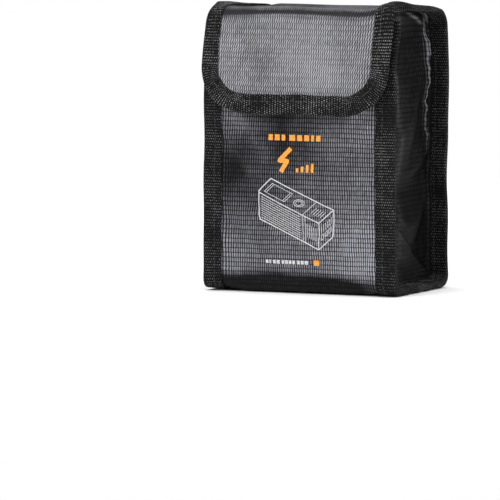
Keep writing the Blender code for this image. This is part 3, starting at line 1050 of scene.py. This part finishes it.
def make_side(side, name):
    """A gusset, its dust flap and their linings: one sheet each, split below the fold."""
    strip = Strip(dust_path(side), in_xz)
    top = strip.station((side * GUSSET_X, GUSSET_TOP - 1.5 * MM))
    split = strip.station((side * GUSSET_X, GUSSET_TOP - 5 * MM))
    bent, end = top + 6 * MM, strip.along[-1]
    runs = (strip_rows(split, top), np.linspace(top, bent, 10), strip_rows(bent, end - DUST_INSET))
    rows = np.concatenate([strip_rows(0, split), *(run[1:] for run in runs)])
    cut = int(np.abs(rows - split).argmin())
    # the outline: the gusset's width, then the tapering flap's
    near, far = FRONT + SEAM_GAP, BACK - SEAM_GAP
    back_edge = far - 1.2 * MM * smooth((rows - top + 5 * MM) / (4 * MM))
    gusset_half, gusset_mid = (back_edge - near) / 2, (back_edge + near) / 2
    flap_half = DUST_HALF - DUST_INSET - DUST_TAPER * np.clip((rows - top) / DUST_LENGTH, 0, 1)
    taper = smooth((rows - top) / (2 * MM))
    half = gusset_half * (1 - taper) + flap_half * taper
    middle = gusset_mid * (1 - taper) + DUST_Y * taper
    share = np.linspace(side, -side, SIDE_COLUMNS)
    along = np.broadcast_to(rows[:, None], (len(rows), len(share)))
    across = middle[:, None] + share * half[:, None]
    flat = strip.at(across, along, 0)
    # the gusset's rim turns out into the seams, and its creases die away towards them
    y, z = flat[..., 1], flat[..., 2]
    on_gusset = 1 - smooth((along - split + 2 * MM) / (4 * MM))
    margin = np.minimum(np.minimum(y - near, far - y), z - 3.6 * MM)
    wall = np.clip(RIM_FILLET - margin, 0, RIM_FILLET)
    flare = RIM_FILLET - np.sqrt(np.maximum(RIM_FILLET**2 - wall**2, 0))
    calm = smooth(margin / (5 * MM))
    creases, roll = gusset_shape(y, z, side)
    shift = (flare + creases * calm) * on_gusset

    def curl(across, along):
        """The dust flap curls down towards its tip, and its root follows the lid's side."""
        out = np.clip((along - top) / DUST_LENGTH, 0, 1)
        spread = (across - DUST_Y) / DUST_HALF
        lift = 1 - smooth((across - 26 * MM) / (8 * MM))
        lift = lift * smooth((along - top + 12 * MM) / (12 * MM)) * (1 - smooth(2.2 * out))
        dz = 2.4 * MM * lift - 1.6 * MM * out**2 + 0.5 * MM * np.sin(4 * spread) * out
        return np.stack([0 * dz, 0 * dz, dz], axis=-1)

    def laid(outwards):
        points = flat + curl(across, along)
        points[..., 0] += side * outwards
        return drape(points)

    grid, inner = laid(shift + roll * calm * on_gusset), laid(shift)
    held = (margin < 1.5 * MM) | (along > split - 4 * MM)
    moved = settle(grid, held, 0.03, 2.0 * MM) * on_gusset[..., None]
    uv = np.stack([across, along], axis=-1)
    hinge = Vector(JOINTS["dust_fold_" + name]["pos_m"])
    lower, upper = slice(0, cut + 1), slice(cut, None)
    for layer, face, faces_at, material, slot, nodes, keep in (
        ("", grid + moved, CLOTH, SHADED_SIDE_CLOTH, "coated_fabric", ("", "panel_"), slice(None)),
        ("lining_", inner + moved, LINING, WHITE, "lining", ("lining_", "lining_"), slice(1, -1)),
    ):
        fields = (face, grid_normals(face), uv)

        def piece(part, span):
            cells = (field[span, keep] for field in fields)
            return shell(part + layer + "sheet_" + name, *cells, faces_at, material)

        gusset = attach(piece("gusset_", lower), "bag")
        dust_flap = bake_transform(piece("dust_flap_", upper))
        finish_piece(gusset, slot, "gusset_" + nodes[0] + name)
        finish_piece(dust_flap, slot, "dust_flap_" + nodes[1] + name)
    make_dust_tape(strip, name, top + 8.5 * MM, end, curl)


def make_dust_tape(strip, name, start, end, curl):
    """Tape round the three free edges of a dust flap."""
    corner = 3 * MM
    tip = DUST_HALF - DUST_TAPER
    turns = [(-DUST_HALF, start), (-tip, end - corner), (-tip + corner, end)]
    turns += [(-across, along) for across, along in turns[::-1]]
    turns = [(DUST_Y + across, along) for across, along in turns]
    path = joined(*(line(a, b) for a, b in zip(turns[:-1], turns[1:])))
    edge = Edge(strip, path, curl)
    strap = tape("dust_flap_tape_" + name, edge, DUST_TAPE, THIN_TAPE, SIDE_TAPE)
    seam = stitches("dust_flap_stitches_" + name, edge, DUST_TAPE, THIN_TAPE)
    taped(strap, seam, lambda obj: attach(obj, "dust_" + name), "dust_flap_binding_" + name)


# Inside and closure


def make_divider():
    low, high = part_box("divider")
    depth = np.linspace(low.y + 0.2 * MM, high.y - 0.2 * MM, 45)
    height = np.linspace(low.z, high.z, 70)
    z, y = np.meshgrid(height, depth, indexing="ij")
    edge = np.sin((y - low.y) / (high.y - low.y) * math.pi)
    x = 1.2 * MM * edge * np.sin(z / (21 * MM) + 0.8) + 0.5 * MM * edge * np.sin(y / (6 * MM))
    grid = np.stack([x, y, z], axis=-1)
    uv = np.stack([y, z], axis=-1)
    web = shell("divider_web", grid, grid_normals(grid), uv, (-0.3 * MM, 0.3 * MM), WHITE)
    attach(web, "bag")
    finish_piece(web, "lining", "divider")


PILE_PITCH = 1.5 * MM
PILE_RIM = 1.2 * MM
PILE_THREAD = 0.11 * MM
BASE_SHARE, ROOT_SHARE = 0.75, 0.55  # of the strip's thickness: the base's face, a tuft's root


def tuft(kind, size, turn):
    """The middle line of one loop or hook of the pile, as x, z and how far out it stands."""
    bend = np.linspace(0, math.pi * (1.0 if kind == "loop" else 1.25), 6)
    run = (1 - np.cos(bend)) * size * 0.4
    out = np.sin(bend) * size * (0.8 if kind == "loop" else 1.0)
    return run * math.cos(turn), run * math.sin(turn), out


def make_pile_pad(name, node, kind, body):
    """A strip of hook or loop tape: a woven base with rows of tufts standing on it."""
    low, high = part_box(node)
    half = high.x
    back, face = (low.y, high.y) if kind == "hook" else (high.y, low.y)
    thick = face - back
    z, x = np.meshgrid(np.linspace(low.z, high.z, 28), np.linspace(-half, half, 90), indexing="ij")
    rim = np.minimum(np.minimum(half - np.abs(x), z - low.z), high.z - z)
    rounded = np.sqrt(np.clip(rim / (0.8 * MM), 0.05, 1))
    lower, upper = (drape(in_yz(x, back + thick * k, z)) for k in (0 * x, BASE_SHARE * rounded))
    pad = layered(name, lower, upper, np.stack([x, z], axis=-1), PILE)
    random = np.random.default_rng(7 if kind == "hook" else 8)
    angle = 2 * math.pi * np.arange(3) / 3
    ring = PILE_THREAD * np.stack([np.cos(angle), 0 * angle, np.sin(angle)], axis=1)
    tubes = Tubes()
    for row, z in enumerate(np.arange(low.z + PILE_RIM, high.z - MM, PILE_PITCH)):
        for x in np.arange(-half + PILE_RIM + (row % 2) * PILE_PITCH / 2, half - MM, PILE_PITCH):
            turn = random.uniform(0, 2 * math.pi) if kind == "loop" else random.choice((0, math.pi))
            across, up, out = tuft(kind, random.uniform(0.6, 0.9) * MM, turn)
            place = back + ROOT_SHARE * thick + math.copysign(1, thick) * out
            centres = in_yz(x + across, place, z + up)
            uv = np.repeat(centres[:, None, ::2], 3, axis=1)
            tubes.add(drape(centres[:, None] + ring), uv)
    pile = tubes.mesh(name + "_tufts", PILE)
    for obj in (pad, pile):
        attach(obj, body)
    finish_piece(pad, "hook_loop", node)
    finish_piece(pile, "hook_loop")


# Print: a generic line drawing of a battery pack, a charge bolt and plain bars


INK_LOW, INK_HIGH = 0.28 * MM, 0.40 * MM  # over the middle of the coated cloth


def ink(name, sheet, strokes, width, material):
    """Printed strokes on the front panel, each a list of (x, z) in millimetres, as thin closed
    ribbons that follow the cloth."""
    tubes = Tubes()
    for stroke in strokes:
        points = np.array(stroke, float) * MM
        dense = joined(*(line(a, b) for a, b in zip(points[:-1], points[1:])))
        beside = right_of(dense) * width * MM / 2
        rings, uv = [], []
        for way, height in ((-1, INK_LOW), (1, INK_LOW), (1, INK_HIGH), (-1, INK_HIGH)):
            uv.append(dense + way * beside)
            rings.append([sheet.point(x, z, height) for x, z in uv[-1]])
        tubes.add(np.stack(rings, axis=1), np.stack(uv, axis=1))
    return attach(tubes.mesh(name, material), "bag")


def battery_drawing():
    """A battery pack seen from above its corner: a long case with cooling ribs and a cap. Returns
    the case's outline and its details, each a list of strokes."""
    along = np.array((34.0, -15.0))
    over = np.array((8.0, 7.0))
    down = np.array((0.0, -13.5))
    corner = np.array((-22.5, 51.5))

    def at(a, b, c):
        return tuple(corner + a * along + b * over + c * down)

    outline = [
        [at(0.02, 0, 0), at(1, 0, 0), at(1, 1, 0), at(0, 1, 0), at(0, 0.06, 0), at(0.02, 0, 0)],
        [at(0, 0.06, 0), at(0, 0.06, 0.9), at(0.04, 0, 1), at(1, 0, 1), at(1, 0, 0)],
        [at(1, 0, 1), at(1, 0.95, 1), at(1, 1, 0.92), at(1, 1, 0)],
    ]
    ribs = [[at(0.05, 0, c), at(0.7, 0, c)] for c in np.linspace(0.12, 0.9, 10)]
    seams = [
        [at(0.74, 0, 0), at(0.74, 0, 1)],
        [at(0.74, 0, 0), at(0.74, 1, 0)],
        [at(0.78, 0, 0), at(0.78, 0, 1)],
        [at(0, 0.06, 0.06), at(0.74, 0.06, 0.06)],
    ]
    panel = [
        [at(a, 0.2, 0), at(b, 0.2, 0), at(b, 0.8, 0), at(a, 0.8, 0), at(a, 0.2, 0)]
        for a, b in ((0.07, 0.4), (0.1, 0.37))
    ]
    turn = np.linspace(0, 2 * math.pi, 25)
    buttons = [
        [at(0.57 + r * math.cos(t), 0.5 + 3.0 * r * math.sin(t), 0) for t in turn]
        for r in (0.07, 0.045)
    ]
    slots = [[at(1, b, 0.2), at(1, b, 0.45)] for b in np.linspace(0.15, 0.85, 6)]
    sockets = [
        [at(1, b, 0.56), at(1, b + 0.16, 0.56), at(1, b + 0.16, 0.74), at(1, b, 0.74), at(1, b, 0.56)]
        for b in (0.16, 0.42, 0.68)
    ]
    ticks = [0.81 + 0.035 * k for k in range(5)]
    lamps = [[at(a, 0.3, 0), at(a, 0.7, 0)] for a in ticks]
    vents = [[at(a, 0, 0.25), at(a, 0, 0.75)] for a in ticks]
    return outline, ribs + seams + panel + buttons + slots + sockets + lamps + vents


def make_print(sheet):
    outline, detail = battery_drawing()
    ink("print_battery_outline", sheet, outline, 0.5, WHITE_INK)
    ink("print_battery_detail", sheet, detail, 0.26, WHITE_INK)
    bolt = [[(-3.4, 74.0), (-9.8, 67.7), (-5.4, 67.7), (-8.8, 62.0)]]
    ink("print_bolt", sheet, bolt, 2.3, ORANGE)
    bars = [[(x, 62.0), (x, 62.0 + h)] for x, h in ((0.2, 2.0), (2.9, 3.0), (5.6, 3.9), (8.3, 4.6))]
    ink("print_charge_bars", sheet, bars, 1.4, ORANGE)
    widths = (2.4, 2.8, 2.0, 0, 3.4, 2.6, 2.6, 1.6, 2.4)
    ink("print_upper_blocks", sheet, blocks(-16.0, 79.4, widths, 1.1), 3.0, ORANGE)
    widths = (1.4, 1.0, 0, 1.6, 1.8, 0, 1.4, 1.6, 1.4, 1.4, 0, 1.6, 1.6, 1.8)
    ink("print_lower_blocks", sheet, blocks(-18.5, 16.0, widths, 0.55), 1.9, WHITE_INK)
    ink("print_square", sheet, [[(8.3, 16.0), (11.1, 16.0)]], 2.8, ORANGE)


def blocks(start, level, widths, gap):
    """A line of plain blocks from left to right. A width of 0 leaves a wider gap."""
    strokes = []
    for width in widths:
        if width:
            strokes.append([(start, level), (start + width, level)])
        start += width + gap
    return strokes


# Stage

FLOOR_HALF = 0.75


def area_light(name, place, target, size, power):
    """A square light, as wide as size."""
    data = bpy.data.lights.new(name, "AREA")
    data.shape = "RECTANGLE"
    data.size = data.size_y = size
    data.energy = power
    obj = bpy.data.objects.new(name, data)
    bpy.context.scene.collection.objects.link(obj)
    obj.location = place
    obj.rotation_euler = (Vector(target) - Vector(place)).to_track_quat("-Z", "Y").to_euler()


def make_stage():
    """A white floor, a white backdrop and soft studio lights."""
    r = FLOOR_HALF
    floor = new_object("floor", [(-r, -r, 0), (r, -r, 0), (r, r, 0), (-r, r, 0)], [[0, 1, 2, 3]])
    paper = bpy.data.materials.new("floor_paper")
    paper.use_nodes = True
    shader = paper.node_tree.nodes["Principled BSDF"]
    shader.inputs["Base Color"].default_value = (0.9, 0.9, 0.9, 1)
    shader.inputs["Roughness"].default_value = 0.9
    floor.data.materials.append(paper)
    make_world()
    middle = (0, 0, 0.07)
    area_light("key", (-0.5, -1.1, 1.0), middle, 0.9, 14)
    area_light("top", (0.1, 0.1, 1.4), middle, 1.8, 30)
    area_light("side_fill", (1.3, -0.2, 0.5), middle, 0.8, 4.0)


def make_world():
    """A white backdrop that lights the bag less than it looks."""
    world = bpy.data.worlds.new("studio")
    world.use_nodes = True
    nodes, links = world.node_tree.nodes, world.node_tree.links
    seen = nodes["Background"]
    glow = nodes.new("ShaderNodeBackground")
    ray = nodes.new("ShaderNodeLightPath")
    either = nodes.new("ShaderNodeMixShader")
    for node, strength in ((seen, 1.0), (glow, 0.35)):
        node.inputs["Color"].default_value = (1, 1, 1, 1)
        node.inputs["Strength"].default_value = strength
    links.new(ray.outputs["Is Camera Ray"], either.inputs[0])
    links.new(glow.outputs[0], either.inputs[1])
    links.new(seen.outputs[0], either.inputs[2])
    links.new(either.outputs[0], nodes["World Output"].inputs[0])
    bpy.context.scene.world = world
    bpy.context.scene.view_settings.view_transform = "Standard"


CAMERA_AZIMUTH = math.radians(23.9)
CAMERA_ELEVATION = math.radians(3.9)
CAMERA_DISTANCE = 3.4
FRAME_WIDTH = 0.2552  # of what the frame spans at the bag
AIM_RIGHT, AIM_UP = 0.0390, 0.0525  # where the bag's middle sits in the frame


def make_camera():
    data = bpy.data.cameras.new("camera")
    data.lens = data.sensor_width * CAMERA_DISTANCE / FRAME_WIDTH
    camera = bpy.data.objects.new("camera", data)
    bpy.context.scene.collection.objects.link(camera)
    a, e = CAMERA_AZIMUTH, CAMERA_ELEVATION
    back = Vector((math.sin(a) * math.cos(e), -math.cos(a) * math.cos(e), math.sin(e)))
    right = Vector((math.cos(a), math.sin(a), 0))
    up = back.cross(right)
    middle = Vector((0, MIDDLE_Y, TOP / 2))
    camera.location = middle + back * CAMERA_DISTANCE
    target = middle - right * AIM_RIGHT - up * AIM_UP
    camera.rotation_euler = (target - camera.location).to_track_quat("-Z", "Y").to_euler()
    bpy.context.scene.camera = camera


make_camera()
make_stage()
wrap = make_wrap()
make_side_tapes()
make_flap_tape()
make_mouth_tape()
make_side(-1, "left")
make_side(1, "right")
make_divider()
make_pile_pad("loop_pad", "loop_strip", "loop", "bag")
make_pile_pad("hook_pad", "hook_strip", "hook", "lid_front")
make_print(wrap)
